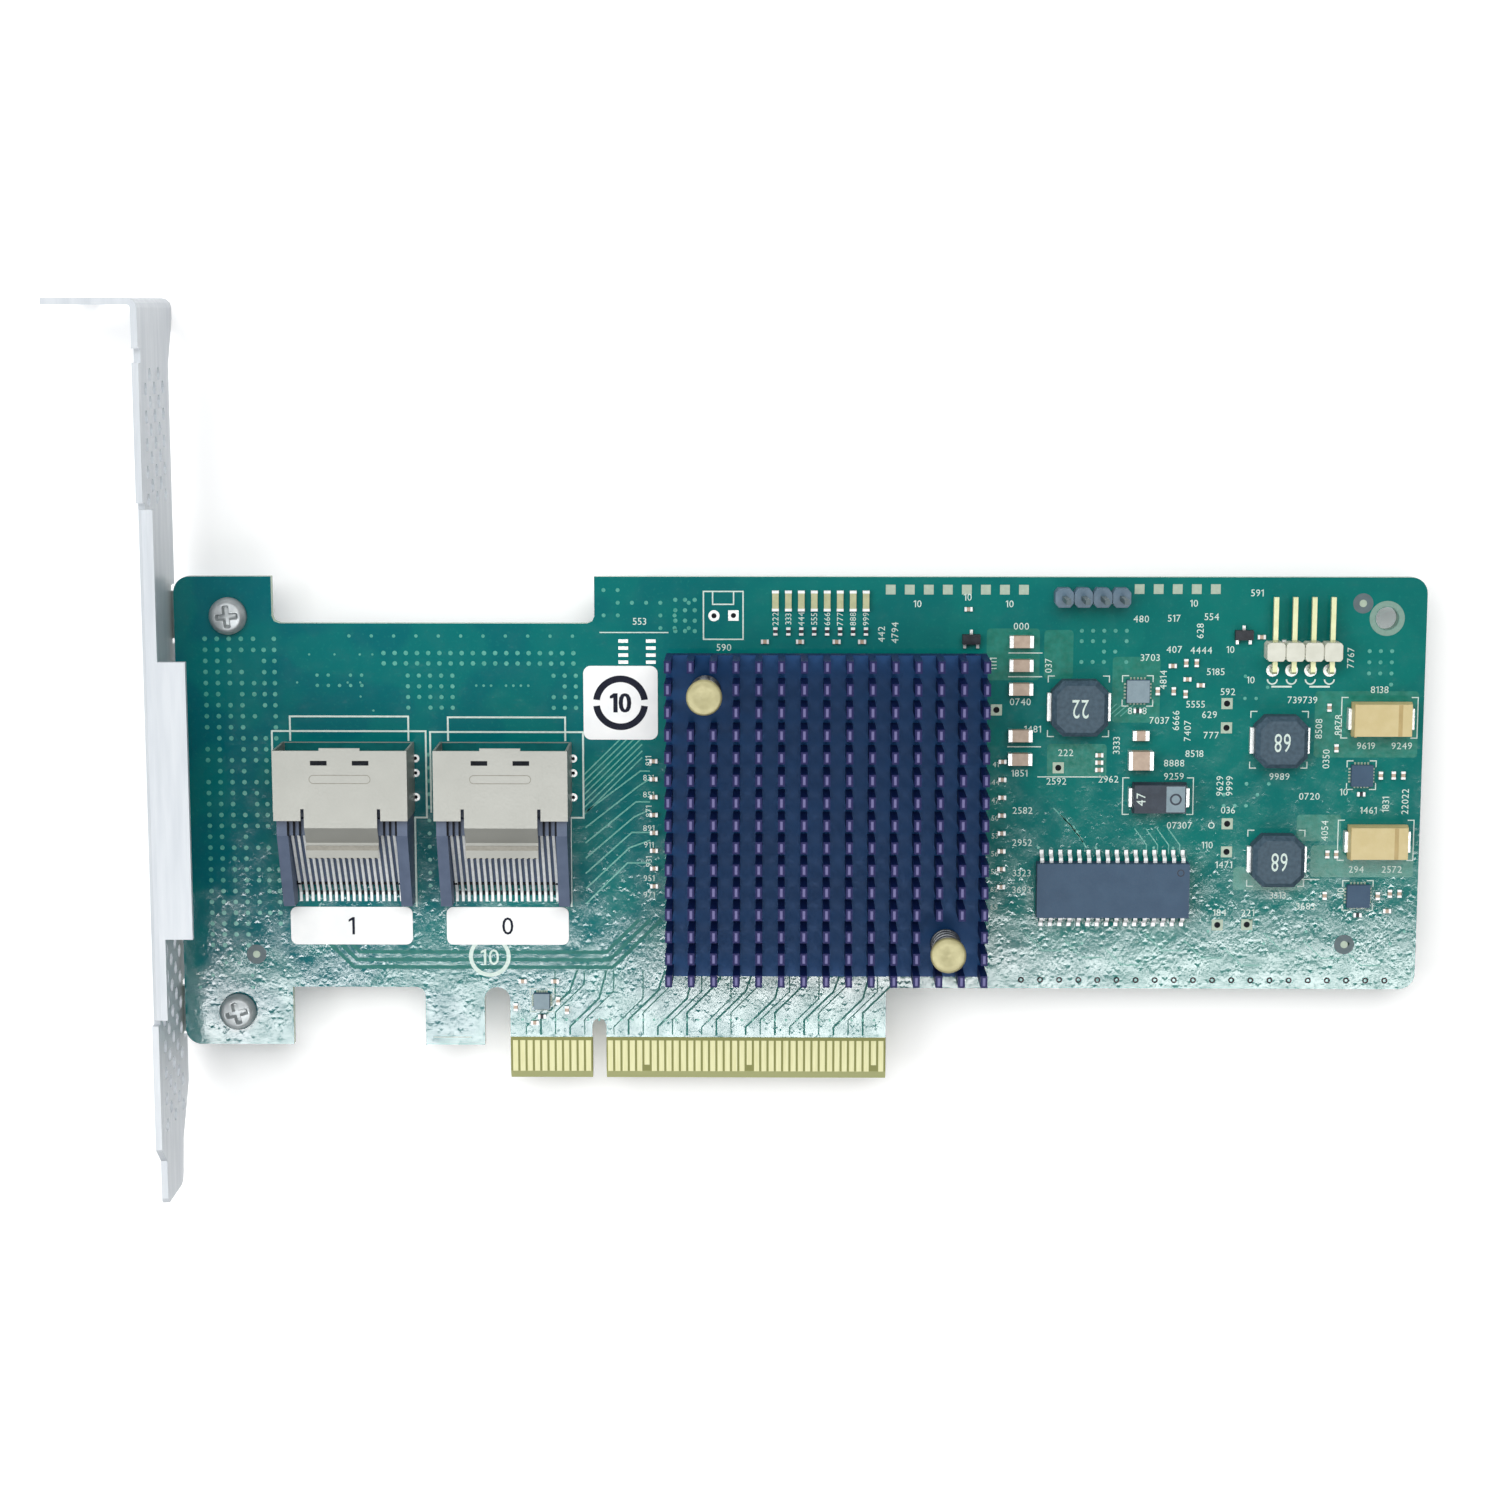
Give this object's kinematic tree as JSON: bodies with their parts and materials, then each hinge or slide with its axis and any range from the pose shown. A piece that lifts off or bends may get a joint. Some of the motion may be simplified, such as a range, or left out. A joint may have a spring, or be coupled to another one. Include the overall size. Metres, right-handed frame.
{
  "type": "raid controller card",
  "caption": "Low-profile storage controller card with edge contacts, two cable ports, a pin-fin heatsink and a full-height steel bracket.",
  "frame": {"origin": "on the centre line of the key notch, at the contact edge, in the component face of the board", "axes": "+X along the card away from the bracket, +Y from the contact edge to the top edge, +Z out of the component face"},
  "size_m": [0.1804, 0.12, 0.0215],
  "materials": {
    "solder_mask_green": "glass-epoxy laminate under glossy green solder mask",
    "contact_gold": "gold plated",
    "bracket_steel": "zinc-plated sheet steel, satin",
    "screw_steel": "nickel-plated steel, satin",
    "anodised_navy": "anodised dark blue-black, satin",
    "pin_brass": "turned brass",
    "spring_steel": "drawn spring steel",
    "thermal_compound": "soft thermal pad",
    "package_laminate": "chip package laminate and lid",
    "solder_tin": "solder and tin plate",
    "shell_steel": "nickel-plated sheet steel, satin",
    "port_plastic": "moulded dark slate plastic",
    "label_paper": "white coated label stock",
    "chip_plastic": "moulded epoxy",
    "inductor_composite": "pressed powder composite",
    "tantalum_resin": "moulded ochre resin",
    "polymer_case": "moulded black resin",
    "capacitor_ceramic": "fired ceramic, matt",
    "led_resin": "clear cast resin",
    "header_natural": "natural nylon",
    "header_dark": "dark glass-filled nylon"
  },
  "bodies": {
    "root": {"circuit_board": "solder_mask_green", "edge_contacts_front": "contact_gold", "edge_contacts_back": "contact_gold", "full_height_bracket": "bracket_steel", "bracket_screws": "screw_steel", "heatsink": "anodised_navy", "heatsink_push_pins": "pin_brass", "heatsink_springs": "spring_steel", "thermal_pad": "thermal_compound", "controller_package": "package_laminate", "controller_ball_field": "solder_tin", "port_1_shell": "shell_steel", "port_0_shell": "shell_steel", "port_1_housing": "port_plastic", "port_0_housing": "port_plastic", "port_1_leads": "solder_tin", "port_0_leads": "solder_tin", "port_labels": "label_paper", "dial_label": "label_paper", "memory_chip": "chip_plastic", "memory_chip_leads": "solder_tin", "inductor_bodies": "inductor_composite", "inductor_terminals": "solder_tin", "tantalum_capacitors": "tantalum_resin", "polymer_capacitor": "polymer_case", "moulded_capacitor_terminals": "solder_tin", "ceramic_capacitor_bodies": "capacitor_ceramic", "ceramic_capacitor_ends": "solder_tin", "regulator_chips": "chip_plastic", "transistors": "chip_plastic", "transistor_legs": "solder_tin", "activity_leds": "led_resin", "led_header_body": "header_natural", "led_header_pins": "contact_gold", "service_header_body": "header_dark", "service_header_pins": "contact_gold", "header_solder_joints": "solder_tin", "chip_capacitors": "capacitor_ceramic", "chip_resistors": "chip_plastic", "back_capacitors": "capacitor_ceramic"}
  },
  "joints": []
}
